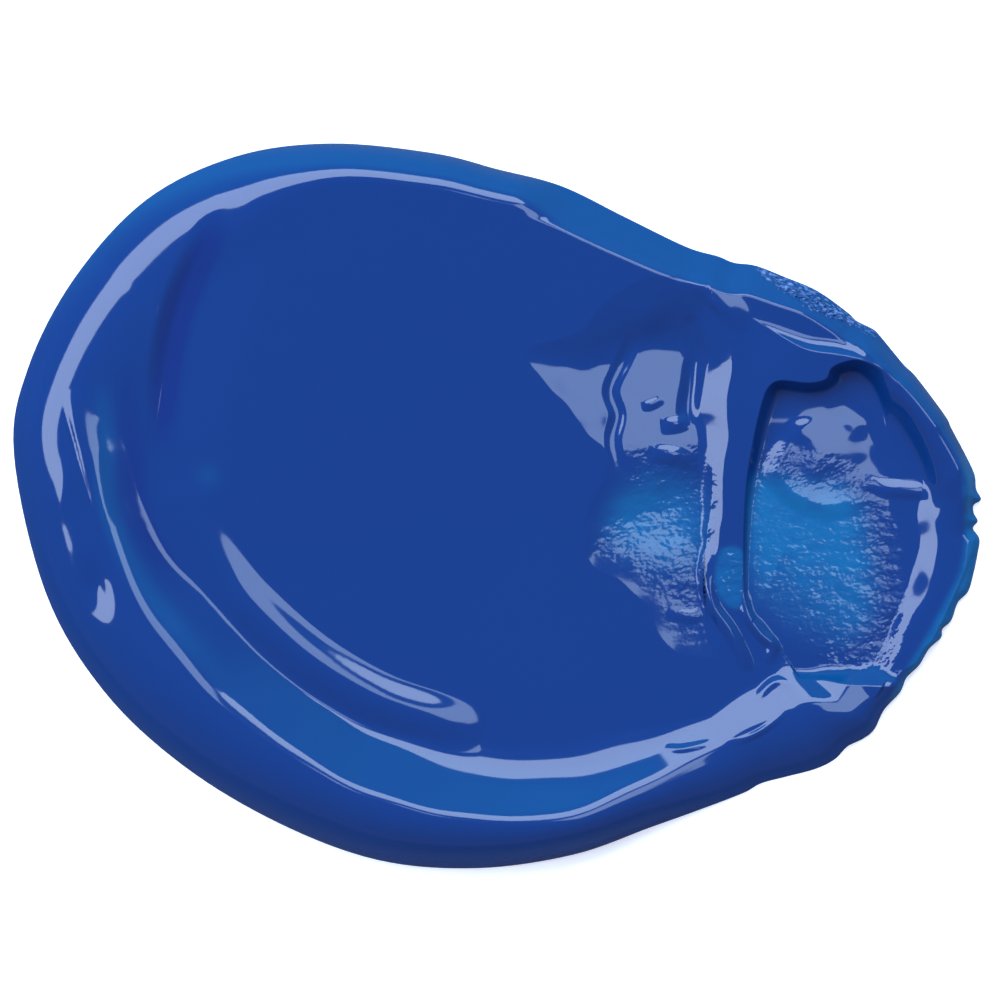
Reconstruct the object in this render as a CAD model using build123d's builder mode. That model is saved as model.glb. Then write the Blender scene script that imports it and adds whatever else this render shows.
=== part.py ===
from build123d import *
import os

# A dab of thick artist's acrylic paint, squeezed on to a flat surface and drawn out to the right
# with a palette knife in two pulls. It lies on the plane Z = 0, with +X along the pulls and the
# origin on its flat underside, at the middle of its length and width. All sizes are millimetres.
#
# Paint is one mass, so the pieces are the stretches that the knife left: the dished pool with a
# low step in it, the rim rolled up round it, the two films scraped thin by the pulls, the ridge
# between the pulls, the ridge where the knife was lifted, the fold above, the tail below, the
# thin torn fringe and the dry dragged crust. They meet face to face and all lie on the ground.

# Heights above the ground
RIM_HEIGHT = 3.6
FOLD_HEIGHT = 3.0
TAIL_HEIGHT = 3.0
CROSS_HEIGHT = 2.0
END_HEIGHT = 2.0
POOL_DEPTH = 1.5
STEP_HEIGHT = 0.3
STEP_WIDTH = 1.8
FIRST_FILM = 0.7
SECOND_FILM = 0.4
FRINGE_FILM = 0.3
CRUST_HEIGHT = 1.2

# Rounding of the shoulders
OUTER_ROUND = 2.0
INNER_ROUND = 1.0
RIDGE_ROUND = 0.5
STEP_ROUND = 0.15

# The dab's outline: a smooth closed curve through these points
OUTLINE = [
    (-30.2, 3.2), (-29.3, 8.6), (-26.4, 14.2), (-21.9, 19.1), (-16.3, 21.8), (-10.4, 22.6),
    (-4.0, 22.0), (3.6, 20.0), (9.8, 17.2), (14.2, 15.4), (19.4, 13.7), (23.5, 10.8),
    (26.8, 7.1), (29.2, 3.0), (30.1, -2.0), (28.5, -6.8), (25.5, -11.1), (21.8, -15.1),
    (16.6, -17.4), (10.4, -19.8), (4.8, -21.8), (-1.2, -22.7), (-7.4, -22.2), (-13.6, -19.9),
    (-19.6, -16.3), (-24.6, -11.6), (-28.2, -5.5),
]

# Junctions of the lines that divide the stretches
POOL_TOP = (5.6, 16.4)
POOL_FOOT = (5.0, -15.7)
RIM_TOP = (10.6, 14.4)
RIM_FOOT = (12.2, -14.4)
CROSS_TOP_LEFT = (13.2, 11.6)
CROSS_TOP_RIGHT = (17.2, 9.0)
CROSS_FOOT_LEFT = (14.2, -9.6)
CROSS_FOOT_RIGHT = (17.2, -8.0)
LIP_END = (23.8, 8.8)
TAIL_END = (24.0, -9.8)

# The dividing lines themselves: smooth curves through these points
RIM_ABOVE_PULL = [POOL_TOP, (8.2, 15.6), RIM_TOP]
RIM_ROUND_POOL = [
    POOL_TOP, (-1.0, 18.2), (-8.6, 19.2), (-14.4, 18.2), (-18.4, 14.8), (-20.6, 9.4),
    (-21.2, 3.4), (-19.2, -2.6), (-15.4, -7.8), (-11.6, -11.6), (-7.0, -14.4), (-1.0, -15.5),
    POOL_FOOT,
]
RIM_BELOW_PULL = [POOL_FOOT, (8.6, -15.4), RIM_FOOT]
POOL_EDGE = [POOL_TOP, (1.4, 10.0), (3.2, 4.0), (4.6, -1.6), (5.8, -8.0), POOL_FOOT]
FOLD_OVER_PULL = [RIM_TOP, (12.2, 13.2), CROSS_TOP_LEFT]
CROSS_LEFT = [
    CROSS_TOP_LEFT, (13.7, 8.0), (13.2, 3.0), (13.0, -2.0), (12.9, -6.0), CROSS_FOOT_LEFT,
]
TAIL_BELOW_PULL = [CROSS_FOOT_LEFT, (14.2, -12.4), RIM_FOOT]
CROSS_TOP = [CROSS_TOP_LEFT, (15.6, 10.8), CROSS_TOP_RIGHT]
CROSS_RIGHT = [
    CROSS_TOP_RIGHT, (16.5, 6.6), (15.9, 3.0), (15.7, -2.0), (15.9, -6.0), CROSS_FOOT_RIGHT,
]
CROSS_FOOT = [CROSS_FOOT_LEFT, (15.8, -9.3), CROSS_FOOT_RIGHT]
FOLD_LIP = [CROSS_TOP_RIGHT, (18.6, 7.7), (20.3, 7.8), (21.6, 8.8), LIP_END]
END_FOOT = [LIP_END, (25.8, 6.2), (26.6, 2.6), (26.4, -2.0), (25.4, -6.0), TAIL_END]
TAIL_TOP = [CROSS_FOOT_RIGHT, (20.0, -8.9), (22.4, -9.5), TAIL_END]
STEP_LINE = [(-18.8, -0.6), (-15.4, -5.6), (-11.6, -9.2), (-7.2, -11.9), (-1.8, -13.6)]
FRINGE_EDGE = [(32.0, 2.4), (29.3, 2.2), (29.3, -2.2), (28.0, -5.8), (25.8, -9.2), (23.6, -12.2)]
CRUST_EDGE = [(14.0, 20.0), (16.4, 14.2), (18.8, 12.8), (21.0, 11.7), (23.0, 10.7), (29.0, 11.4)]

# Corners well outside the outline, which close the stretches that reach it
ABOVE_RIM = (13.4, 26.0)
BELOW_RIM = (15.0, -26.0)
BESIDE_LIP = (34.0, 9.4)
BESIDE_TAIL = (34.0, -18.0)
FAR_LEFT = [(-40.0, -26.0), (-40.0, 26.0)]
FAR_RIGHT_TOP = (34.0, 26.0)
FAR_RIGHT_FOOT = (34.0, -26.0)
FRINGE_OUTSIDE = [(27.0, -20.0), (40.0, -20.0), (40.0, 2.4)]
CRUST_OUTSIDE = [(40.0, 11.4), (40.0, 26.0), (14.0, 26.0)]


def closed_curve(points):
    """The face inside a smooth closed curve."""
    with BuildSketch() as plan:
        with BuildLine():
            Spline(*points, periodic=True)
        make_face()
    return plan.sketch


def stretch(curves, corners=()):
    """The ground inside the outline that smooth curves enclose, with straight sides through the corners."""
    with BuildSketch() as plan:
        with BuildLine():
            for points in curves:
                Spline(*points)
            if corners:
                Polyline(*corners)
        make_face()
        add(outline, mode=Mode.INTERSECT)
    return plan.sketch


def edges_along(part, height, face):
    """The edges of a part at a height that run along the border of a face."""
    border = face.edges()
    level = part.edges().filter_by(
        lambda e: abs((e @ 0.5).Z - height) < 0.01 and abs((e @ 0.1).Z - height) < 0.01
    )
    return level.filter_by(
        lambda e: min(b.distance_to(Vector((e @ 0.5).X, (e @ 0.5).Y, 0)) for b in border) < 0.02
    )


def write(name, part):
    """Names a finished piece and writes it as its own STEP file."""
    part.label = name
    export_step(part, f"parts/{name}.step")


os.makedirs("parts", exist_ok=True)

outline = closed_curve(OUTLINE)

rim_plan = stretch(
    [RIM_ABOVE_PULL, RIM_ROUND_POOL, RIM_BELOW_PULL],
    [RIM_FOOT, BELOW_RIM, *FAR_LEFT, ABOVE_RIM, RIM_TOP],
)
pool_plan = stretch([RIM_ROUND_POOL, POOL_EDGE])
first_plan = stretch(
    [RIM_ABOVE_PULL, POOL_EDGE, RIM_BELOW_PULL, TAIL_BELOW_PULL, CROSS_LEFT, FOLD_OVER_PULL]
)
cross_plan = stretch([CROSS_LEFT, CROSS_FOOT, CROSS_RIGHT, CROSS_TOP])
second_plan = stretch([CROSS_RIGHT, TAIL_TOP, END_FOOT, FOLD_LIP])
fold_plan = stretch(
    [FOLD_OVER_PULL, CROSS_TOP, FOLD_LIP],
    [LIP_END, BESIDE_LIP, FAR_RIGHT_TOP, ABOVE_RIM, RIM_TOP],
)
tail_plan = stretch(
    [TAIL_BELOW_PULL, CROSS_FOOT, TAIL_TOP],
    [TAIL_END, BESIDE_TAIL, FAR_RIGHT_FOOT, BELOW_RIM, RIM_FOOT],
)
end_plan = stretch([END_FOOT], [TAIL_END, BESIDE_TAIL, BESIDE_LIP, LIP_END])
fringe_plan = stretch([FRINGE_EDGE], [FRINGE_EDGE[-1], *FRINGE_OUTSIDE, FRINGE_EDGE[0]])
crust_plan = stretch([CRUST_EDGE], [CRUST_EDGE[-1], *CRUST_OUTSIDE, CRUST_EDGE[0]])

# The rim: rolled up round the pool, with a full outer shoulder and a softer inner one
with BuildPart() as rim:
    extrude(rim_plan, amount=RIM_HEIGHT)
    fillet(edges_along(rim.part, RIM_HEIGHT, outline), radius=OUTER_ROUND)
    fillet(edges_along(rim.part, RIM_HEIGHT, pool_plan), radius=INNER_ROUND)
write("rim", rim.part)

# The pool: a flat floor of thick paint inside the rim
with BuildPart() as pool:
    extrude(pool_plan, amount=POOL_DEPTH)
write("pool", pool.part)

# The step: a low terrace round the lower left of the pool
with BuildPart() as pool_step:
    with BuildSketch(Plane.XY.offset(POOL_DEPTH)):
        with BuildLine():
            Spline(*STEP_LINE)
        trace(line_width=STEP_WIDTH)
    extrude(amount=STEP_HEIGHT)
    fillet(pool_step.faces().sort_by(Axis.Z)[-1].edges(), radius=STEP_ROUND)
write("pool_step", pool_step.part)

# The films that the two pulls scraped thin
with BuildPart() as first_pull_film:
    extrude(first_plan, amount=FIRST_FILM)
write("first_pull_film", first_pull_film.part)

with BuildPart() as second_pull_film:
    extrude(second_plan, amount=SECOND_FILM)
write("second_pull_film", second_pull_film.part)

# The ridge between the pulls, steep on the second pull's side
with BuildPart() as cross_ridge:
    extrude(cross_plan, amount=CROSS_HEIGHT)
    fillet(edges_along(cross_ridge.part, CROSS_HEIGHT, first_plan), radius=INNER_ROUND)
    fillet(edges_along(cross_ridge.part, CROSS_HEIGHT, second_plan), radius=RIDGE_ROUND)
write("cross_ridge", cross_ridge.part)

# The dry crust that the knife dragged along the upper right edge
with BuildPart() as crust:
    extrude(crust_plan, amount=CRUST_HEIGHT)
    fillet(edges_along(crust.part, CRUST_HEIGHT, outline), radius=RIDGE_ROUND)
write("crust", crust.part)

# The fold: paint turned over above the second pull, with a sharp lip over it
with BuildPart() as fold:
    with BuildSketch():
        add(fold_plan)
        add(crust_plan, mode=Mode.SUBTRACT)
    extrude(amount=FOLD_HEIGHT)
    fillet(edges_along(fold.part, FOLD_HEIGHT, crust_plan), radius=INNER_ROUND)
write("fold", fold.part)

# The thin torn fringe outside the ridge where the knife was lifted
with BuildPart() as fringe:
    extrude(fringe_plan, amount=FRINGE_FILM)
write("fringe", fringe.part)

# The ridge where the knife was lifted
with BuildPart() as end_ridge:
    with BuildSketch():
        add(end_plan)
        add(fringe_plan, mode=Mode.SUBTRACT)
    extrude(amount=END_HEIGHT)
    fillet(edges_along(end_ridge.part, END_HEIGHT, second_plan), radius=RIDGE_ROUND)
write("end_ridge", end_ridge.part)

# The tail: the rim's heavy lower end
with BuildPart() as tail:
    with BuildSketch():
        add(tail_plan)
        add(fringe_plan, mode=Mode.SUBTRACT)
    extrude(amount=TAIL_HEIGHT)
    fillet(edges_along(tail.part, TAIL_HEIGHT, outline), radius=INNER_ROUND)
write("tail", tail.part)
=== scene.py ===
"""A dab of thick blue artist's paint, drawn out to the right with a palette knife in two pulls."""

import math

import bmesh
import bpy
import numpy as np
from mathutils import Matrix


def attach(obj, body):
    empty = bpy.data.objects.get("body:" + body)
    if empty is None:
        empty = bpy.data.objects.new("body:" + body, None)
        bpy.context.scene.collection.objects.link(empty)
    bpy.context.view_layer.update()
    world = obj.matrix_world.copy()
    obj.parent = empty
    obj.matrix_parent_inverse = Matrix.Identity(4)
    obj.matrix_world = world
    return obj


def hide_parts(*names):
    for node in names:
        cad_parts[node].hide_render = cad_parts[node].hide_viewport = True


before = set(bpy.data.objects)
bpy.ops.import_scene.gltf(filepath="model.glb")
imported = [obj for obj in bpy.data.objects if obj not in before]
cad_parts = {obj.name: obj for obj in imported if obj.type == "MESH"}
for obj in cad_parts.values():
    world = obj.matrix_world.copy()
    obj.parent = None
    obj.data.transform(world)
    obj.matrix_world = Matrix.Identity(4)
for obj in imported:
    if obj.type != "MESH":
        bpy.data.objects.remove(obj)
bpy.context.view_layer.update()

MM = 0.001

# ---- tools for the relief, in millimetres
# The relief is a canvas of cells this wide, this far to each side of the dab's middle
CELL = 0.05
HALF_LENGTH = 31.5
HALF_WIDTH = 24.0
COLUMNS = int(round(2 * HALF_LENGTH / CELL)) + 1
ROWS = int(round(2 * HALF_WIDTH / CELL)) + 1
GROUND_X, GROUND_Y = np.meshgrid(
    np.linspace(-HALF_LENGTH, HALF_LENGTH, COLUMNS), np.linspace(-HALF_WIDTH, HALF_WIDTH, ROWS)
)


def curve(points, closed=False, steps=8):
    """A smooth line through its points. Values after x and y, such as a height, run smoothly too."""
    p = np.array(points, float)
    if closed:
        p = np.vstack([p[-1:], p, p[:2]])
    else:
        p = np.vstack([2 * p[:1] - p[1:2], p, 2 * p[-1:] - p[-2:-1]])
    t = np.linspace(0, 1, steps, endpoint=False)[:, None]
    runs = []
    for a, b, c, d in zip(p[:-3], p[1:-2], p[2:-1], p[3:]):
        second = (2 * a - 5 * b + 4 * c - d) * t**2
        third = (3 * b - a - 3 * c + d) * t**3
        runs.append(0.5 * (2 * b + (c - a) * t + second + third))
    runs.append(p[-2:-1])
    return np.vstack(runs)


def nearest(line, x, y):
    """Each place's distance from a line, positive on its left, and the line's nearest values."""
    best = np.full(x.shape, np.inf)
    side = np.ones(x.shape)
    values = [np.zeros(x.shape) for _ in range(line.shape[1] - 2)]
    for a, b in zip(line[:-1], line[1:]):
        run = b[:2] - a[:2]
        length = run @ run
        if length < 1e-12:
            continue
        t = np.clip(((x - a[0]) * run[0] + (y - a[1]) * run[1]) / length, 0, 1)
        dx = x - a[0] - t * run[0]
        dy = y - a[1] - t * run[1]
        gap = dx * dx + dy * dy
        closer = gap < best
        best = np.where(closer, gap, best)
        side = np.where(closer, run[0] * dy - run[1] * dx, side)
        for i, v in enumerate(values):
            v[closer] = (a[2 + i] + t * (b[2 + i] - a[2 + i]))[closer]
    return np.sqrt(best) * np.where(side < 0, -1, 1), values


def block_near(line, reach):
    """The block of the canvas within reach of a line."""
    x0, y0 = line[:, :2].min(0) - reach
    x1, y1 = line[:, :2].max(0) + reach
    c0 = max(int((x0 + HALF_LENGTH) / CELL), 0)
    c1 = min(int((x1 + HALF_LENGTH) / CELL) + 2, COLUMNS)
    r0 = max(int((y0 + HALF_WIDTH) / CELL), 0)
    r1 = min(int((y1 + HALF_WIDTH) / CELL) + 2, ROWS)
    return slice(r0, r1), slice(c0, c1)


def smoothstep(t):
    """A soft ramp from 0 to 1."""
    t = np.clip(t, 0, 1)
    return t * t * (3 - 2 * t)


def smooth_min(a, b, round_off):
    """The lower of two surfaces, with the crease between them rounded."""
    h = np.clip(0.5 + 0.5 * (b - a) / round_off, 0, 1)
    return b + (a - b) * h - round_off * h * (1 - h)


def smooth_max(a, b, round_off):
    """The higher of two surfaces, with the crease between them rounded."""
    return -smooth_min(-a, -b, round_off)


def stroke(top, points, left, right, flat=0.0):
    """Raises a ridge, or cuts a groove with negative heights, along a line of (x, y, height) points."""
    line = curve(points)
    block = block_near(line, max(left, right))
    gap, (height,) = nearest(line, GROUND_X[block], GROUND_Y[block])
    u = np.where(gap > 0, gap / left, -gap / right)
    u = np.clip((u - flat) / (1 - flat), 0, 1)
    top[block] += height * (1 - u * u) ** 2


def blob(top, x, y, height, along, across, angle=0.0):
    """Raises a round or oval swelling."""
    turn = math.radians(angle)
    dx = GROUND_X - x
    dy = GROUND_Y - y
    u = (dx * math.cos(turn) + dy * math.sin(turn)) / along
    v = (dy * math.cos(turn) - dx * math.sin(turn)) / across
    top += height * np.exp(-(u * u + v * v))


def turning(line):
    """1 for a closed line that runs counterclockwise, -1 for one that runs clockwise."""
    return np.sign(np.sum(line[:-1, 0] * line[1:, 1] - line[1:, 0] * line[:-1, 1]))


def inside(points, soft):
    """A mask of the ground inside a closed line of points, soft millimetres wide at its edge."""
    line = curve(points, closed=True)
    block = block_near(line, soft)
    gap, _ = nearest(line, GROUND_X[block], GROUND_Y[block])
    mask = np.zeros(GROUND_X.shape)
    mask[block] = smoothstep(0.5 + gap * turning(line) / soft)
    return mask


def grain(seed, along, across, angle=0.0):
    """Even random relief of unit height, with marks of the given size, drawn out at an angle."""
    noise = np.random.default_rng(seed).standard_normal(GROUND_X.shape)
    fx = np.fft.rfftfreq(COLUMNS, CELL)[None, :]
    fy = np.fft.fftfreq(ROWS, CELL)[:, None]
    turn = math.radians(angle)
    u = (fx * math.cos(turn) + fy * math.sin(turn)) * along
    v = (fy * math.cos(turn) - fx * math.sin(turn)) * across
    field = np.fft.irfft2(np.fft.rfft2(noise) * np.exp(-2 * (u * u + v * v)), s=GROUND_X.shape)
    return field / field.std()


def blur(field, size):
    """Smooths a field of the canvas over a distance."""
    fx = np.fft.rfftfreq(COLUMNS, CELL)[None, :]
    fy = np.fft.fftfreq(ROWS, CELL)[:, None]
    keep = np.exp(-2 * (math.pi * size) ** 2 * (fx * fx + fy * fy))
    return np.fft.irfft2(np.fft.rfft2(field) * keep, s=field.shape)


def bank(u, crest, foot):
    """A bank from 1 at u = 0 to 0 at u = 1: a rounded crest, a straight slope and a hollow foot."""
    u = np.clip(u, 0, 1)
    steep = 1 / (1 - crest / 2 - foot / 2)
    upper = steep * u * u / (2 * crest)
    middle = steep * (u - crest / 2)
    lower = 1 - steep * (1 - u) ** 2 / (2 * foot)
    return 1 - np.where(u < crest, upper, np.where(u < 1 - foot, middle, lower))


# ---- the dab's own shape, in millimetres
POOL_LEVEL = 1.3
POOL_RISE = 0.055
POOL_FALL = 0.03
WAVER_HEIGHT = 0.007
FINE_WAVER_HEIGHT = 0.0015
FIRST_LEVEL = 0.55
SECOND_LEVEL = 0.42
GRAIN_HEIGHT = 0.015
CRUST_HEIGHT = 0.05
GRAIN_ANGLE = 14.0
CRUST_ANGLE = -25.0
# Slopes in degrees
FOLD_OUTER_SLOPE = 33.0
FOLD_TOP_SLOPE = 4.0
FIRST_LEFT_SLOPE = 9.5
FIRST_BELOW_SLOPE = 5.5
FIRST_ABOVE_SLOPE = 14.0
FIRST_WALL_SLOPE = 23.0
FIRST_WALL_FOOT_SLOPE = 42.0
SECOND_LEFT_SLOPE = 62.0
SECOND_LIP_SLOPE = 68.0
SECOND_OPEN_SLOPE = 24.0
SECOND_BELOW_SLOPE = 34.0
SECOND_END_SLOPE = 21.0
# How steeply the arc at the outline starts: 1 would be upright
CONTACT = 0.92

OUTLINE = [
    (-30.2, 3.2), (-29.3, 8.6), (-26.4, 14.2), (-21.9, 19.1), (-16.3, 21.8), (-10.4, 22.6), (-4.0, 22.0),
    (0.0, 21.0), (4.0, 19.95), (8.0, 18.0), (11.8, 16.15), (13.8, 15.55), (14.8, 15.15), (16.2, 14.95),
    (18.0, 14.25), (20.0, 13.4), (21.9, 12.05), (22.5, 11.5), (23.5, 11.0), (24.0, 10.5), (25.4, 8.8),
    (26.2, 8.0), (28.0, 5.6), (28.4, 4.8), (29.3, 3.1), (29.85, 1.9), (29.95, 1.0), (30.25, 0.35),
    (29.8, 0.0), (29.8, -0.5), (30.05, -1.0), (29.75, -1.45), (30.15, -2.1), (30.05, -3.0), (29.8, -4.2),
    (29.45, -5.4), (28.8, -6.1), (28.4, -7.2), (27.85, -7.75), (27.75, -8.3), (27.0, -9.0), (26.4, -10.0),
    (25.6, -10.8), (25.2, -11.7), (24.2, -12.8), (23.6, -14.0), (22.9, -14.6), (21.9, -15.1),
    (21.1, -15.9), (19.9, -16.5), (18.0, -17.0), (16.5, -17.4), (15.4, -18.0), (12.8, -19.0), (9.6, -20.15),
    (4.8, -21.85), (-1.2, -22.7), (-7.4, -22.2), (-13.6, -19.9), (-19.6, -16.3), (-24.6, -11.6),
    (-28.2, -5.5),
]
# Round the edge: x, y, how far in the edge rounds over, the crest's distance in, how far the crest stands
# above the pool, the width of the bank inside it, and its shares of rounded crest and of hollow foot
EDGE = [
    (-30.2, 3.2, 4.0, 4.9, 0.48, 2.8, 0.2, 0.4),
    (-28.6, 10.2, 4.4, 4.6, 0.2, 3.4, 0.3, 0.5),
    (-26.4, 14.2, 4.9, 5.0, 0.1, 5.0, 0.5, 0.5),
    (-24.5, 16.6, 5.4, 5.4, 0.0, 5.0, 0.5, 0.5),
    (-18.6, 20.9, 5.2, 5.2, 0.0, 5.0, 0.5, 0.5),
    (-14.5, 22.2, 3.8, 3.8, 0.0, 5.0, 0.5, 0.5),
    (-10.0, 22.6, 2.7, 3.0, 0.0, 5.0, 0.5, 0.5),
    (-4.0, 22.0, 2.5, 2.8, 0.0, 5.0, 0.5, 0.5),
    (3.6, 20.0, 2.2, 2.6, 0.0, 5.0, 0.5, 0.5),
    (9.8, 17.2, 2.1, 2.6, 0.0, 5.0, 0.5, 0.5),
    (14.8, 15.2, 1.6, 2.6, 0.0, 5.0, 0.5, 0.5),
    (17.5, 14.4, 1.1, 2.6, 0.0, 5.0, 0.5, 0.5),
    (21.9, 12.0, 1.1, 2.6, 0.0, 5.0, 0.5, 0.5),
    (25.4, 8.8, 1.4, 2.6, 0.0, 5.0, 0.5, 0.5),
    (28.4, 4.8, 1.3, 1.6, 0.0, 5.0, 0.5, 0.5),
    (30.0, 0.5, 1.0, 1.2, 0.0, 5.0, 0.5, 0.5),
    (30.0, -3.0, 0.8, 1.2, 0.0, 5.0, 0.5, 0.5),
    (28.4, -7.2, 0.4, 1.2, 0.0, 5.0, 0.5, 0.5),
    (25.6, -10.8, 0.6, 2.0, 0.3, 4.0, 0.2, 0.4),
    (23.0, -14.6, 2.4, 2.8, 1.2, 4.0, 0.2, 0.3),
    (19.9, -16.5, 3.6, 4.0, 1.2, 3.1, 0.15, 0.2),
    (17.6, -17.2, 3.2, 3.5, 1.0, 2.7, 0.15, 0.2),
    (15.4, -18.0, 2.8, 3.0, 0.88, 2.35, 0.15, 0.2),
    (12.8, -19.0, 2.5, 2.7, 1.1, 3.1, 0.2, 0.4),
    (9.6, -20.15, 2.3, 2.3, 1.65, 4.4, 0.2, 0.66),
    (4.8, -21.85, 2.3, 2.3, 2.35, 5.0, 0.16, 0.62),
    (-1.2, -22.7, 3.0, 3.0, 2.4, 5.2, 0.14, 0.55),
    (-7.4, -22.2, 3.5, 3.5, 2.45, 4.8, 0.14, 0.3),
    (-13.6, -19.9, 3.9, 3.95, 2.35, 4.3, 0.2, 0.12),
    (-19.6, -16.3, 4.2, 4.35, 2.0, 4.5, 0.24, 0.1),
    (-24.6, -11.6, 4.5, 4.75, 1.65, 4.4, 0.24, 0.12),
    (-28.2, -5.5, 3.9, 4.9, 1.08, 3.3, 0.22, 0.2),
]

# Ridges and grooves, as lines of (x, y, height)
TERRACE = [
    (-19.6, 1.8, 0.0), (-18.6, -1.2, 0.14), (-17.0, -4.1, 0.25), (-15.2, -6.4, 0.4), (-11.6, -9.6, 0.48),
    (-7.6, -12.0, 0.46), (-4.2, -13.2, 0.4), (-2.2, -13.8, 0.2), (-0.8, -14.1, 0.0),
]
LEFT_RIDGE = [
    (-26.6, 7.2, 0.0), (-26.3, 5.6, 0.13), (-25.9, 4.0, 0.17), (-25.5, 2.4, 0.17), (-24.9, 0.3, 0.12),
    (-24.4, -1.6, 0.0),
]
LEFT_GROOVE = [
    (-20.9, 0.5, 0.0), (-20.8, 4.0, -0.13), (-20.6, 7.5, -0.33), (-20.1, 10.8, -0.52),
    (-19.0, 14.2, -0.46), (-17.4, 17.2, -0.14), (-16.4, 18.8, 0.0),
]
FOLD_TICK = [(12.0, 14.2, 0.0), (13.0, 13.3, 0.14), (14.2, 12.2, 0.17), (15.5, 10.8, 0.0)]
TAIL_RIDGES = [
    [(10.4, -15.1, 0.0), (11.6, -15.15, 0.12), (13.6, -14.7, 0.0)],
    [(14.4, -14.9, 0.0), (16.2, -14.2, 0.14), (18.0, -13.0, 0.0)],
]
TAIL_HOOK = [(18.4, -11.4, 0.0), (17.4, -11.0, 0.12), (16.6, -11.6, 0.1), (16.4, -12.3, 0.0)]
FOLD_CREST = [
    (10.5, 14.6, 0.8), (13.0, 13.3, 1.3), (14.8, 12.3, 1.6), (16.9, 11.0, 2.0), (19.2, 9.7, 2.2),
    (21.6, 9.3, 2.1), (24.0, 8.6, 1.6), (26.0, 6.8, 0.8),
]
# Gaps and islands the first pull left: the line, then its reach to the left and the right
FIRST_MARKS = [
    ([(12.2, 11.2, -0.1), (12.5, 9.6, -0.22), (12.3, 8.2, -0.24), (12.0, 6.4, -0.2), (11.8, 4.8, 0.0)],
     0.75, 0.85),
    ([(9.0, 6.2, 0.0), (9.6, 6.3, 0.1), (10.4, 6.7, 0.0)], 0.35, 0.45),
    ([(10.2, 5.0, 0.0), (11.2, 5.1, 0.15), (12.0, 5.4, 0.0)], 0.55, 0.7),
    ([(9.4, 3.3, 0.0), (11.0, 3.1, 0.2), (12.6, 2.7, 0.0)], 0.7, 0.8),
    ([(10.6, -6.6, 0.0), (12.0, -6.9, 0.12), (13.2, -6.6, 0.0)], 0.5, 0.6),
]
FIRST_GAP = [
    (8.6, 10.6, 0.0), (8.0, 9.2, -0.1), (7.1, 7.2, -0.13), (7.5, 5.6, -0.16), (7.2, 4.0, -0.12),
    (7.6, 2.0, 0.0),
]
END_RIDGE = [
    (23.6, 9.0, 0.3), (26.4, 6.6, 0.7), (28.0, 3.6, 0.9), (28.6, 0.6, 0.95), (28.3, -2.6, 0.95),
    (27.2, -5.6, 0.95), (25.8, -8.4, 0.9), (24.6, -10.4, 0.4),
]
END_SWELLS = [
    (28.9, 3.0, 0.0), (28.5, 1.6, 0.14), (28.6, 0.2, 0.0), (28.5, -1.6, 0.14), (28.2, -3.4, 0.0),
]
SECOND_ARM = [(22.6, 1.6, 0.0), (24.2, 1.1, 0.16), (26.0, 0.9, 0.2), (27.2, 0.8, 0.0)]
THIN_RIDGES = [
    ([(13.3, -2.6, 0.0), (13.0, -4.4, 0.16), (13.4, -6.2, 0.24), (14.5, -7.8, 0.26), (15.3, -9.4, 0.2),
      (15.7, -10.4, 0.0)], 0.55, 0.6),
    ([(15.4, -5.4, 0.0), (15.6, -6.8, 0.18), (16.4, -8.0, 0.24), (17.2, -8.8, 0.2), (16.9, -9.9, 0.0)],
     0.5, 0.5),
]
# Painted light and painted shade on the left bank, as lines of (x, y, change of tone)
PAINTED_LIGHT_STRIPE = [
    (-24.6, 8.0, 0.0), (-24.4, 5.0, 0.5), (-24.2, 0.0, 0.6), (-22.4, -4.4, 0.5), (-20.0, -7.6, 0.4),
    (-16.6, -11.2, 0.0),
]
PAINTED_SHADE_GROOVE = [
    (-20.9, 3.0, 0.0), (-20.6, 6.0, -0.3), (-20.3, 9.0, -0.45), (-19.6, 12.0, -0.45),
    (-18.2, 15.4, -0.4), (-16.8, 17.8, 0.0),
]
PAINTED_SHADE_STRIPE = [
    (-23.2, 9.6, 0.0), (-22.7, 4.0, -0.2), (-22.1, -1.0, -0.2), (-19.4, -5.6, -0.15), (-15.5, -9.6, 0.0),
]

# The sides of the first pull's basin, each with the basin on its left
FIRST_LEFT = [(-2.6, 18.0), (1.4, 9.7), (4.6, 2.6), (5.4, -1.0), (5.8, -4.0), (7.6, -8.0), (9.6, -12.0)]
FIRST_ABOVE = [
    (17.0, 12.4), (13.4, 14.0), (10.6, 14.2), (8.0, 13.0), (5.6, 10.9), (3.0, 10.1), (1.0, 10.0),
    (-3.0, 10.2),
]
FIRST_RIGHT = [
    (14.6, -16.0), (13.9, -9.0), (13.3, -5.0), (13.9, -2.0), (14.1, 1.0), (14.3, 5.0), (14.7, 9.0),
    (13.6, 12.5),
]
FIRST_BELOW = [(-2.0, -6.0), (5.0, -5.2), (8.6, -6.4), (11.4, -8.4), (16.0, -9.4)]
# The sides of the second pull's basin
SECOND_LEFT = [
    (17.2, 8.4), (16.5, 6.4), (15.95, 4.0), (15.5, 1.0), (15.35, -3.0), (15.5, -6.2), (16.6, -7.6),
    (17.6, -9.0),
]
SECOND_ABOVE = [
    (29.8, 1.0), (28.2, 3.8), (26.6, 6.0), (25.2, 7.5), (24.0, 8.4), (22.6, 9.0), (21.6, 8.9), (20.8, 8.5),
    (20.5, 7.85), (19.4, 7.6), (17.6, 7.75), (16.7, 7.2), (15.6, 6.0),
]
SECOND_BELOW = [(14.5, -12.0), (17.4, -11.0), (20.0, -10.9), (22.0, -11.2), (25.2, -11.4)]
SECOND_END = [
    (25.4, 10.4), (26.2, 7.6), (26.7, 4.6), (26.65, 2.0), (26.4, -0.5), (26.2, -3.0), (25.6, -5.4),
    (24.6, -7.6), (23.2, -10.6),
]
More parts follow.
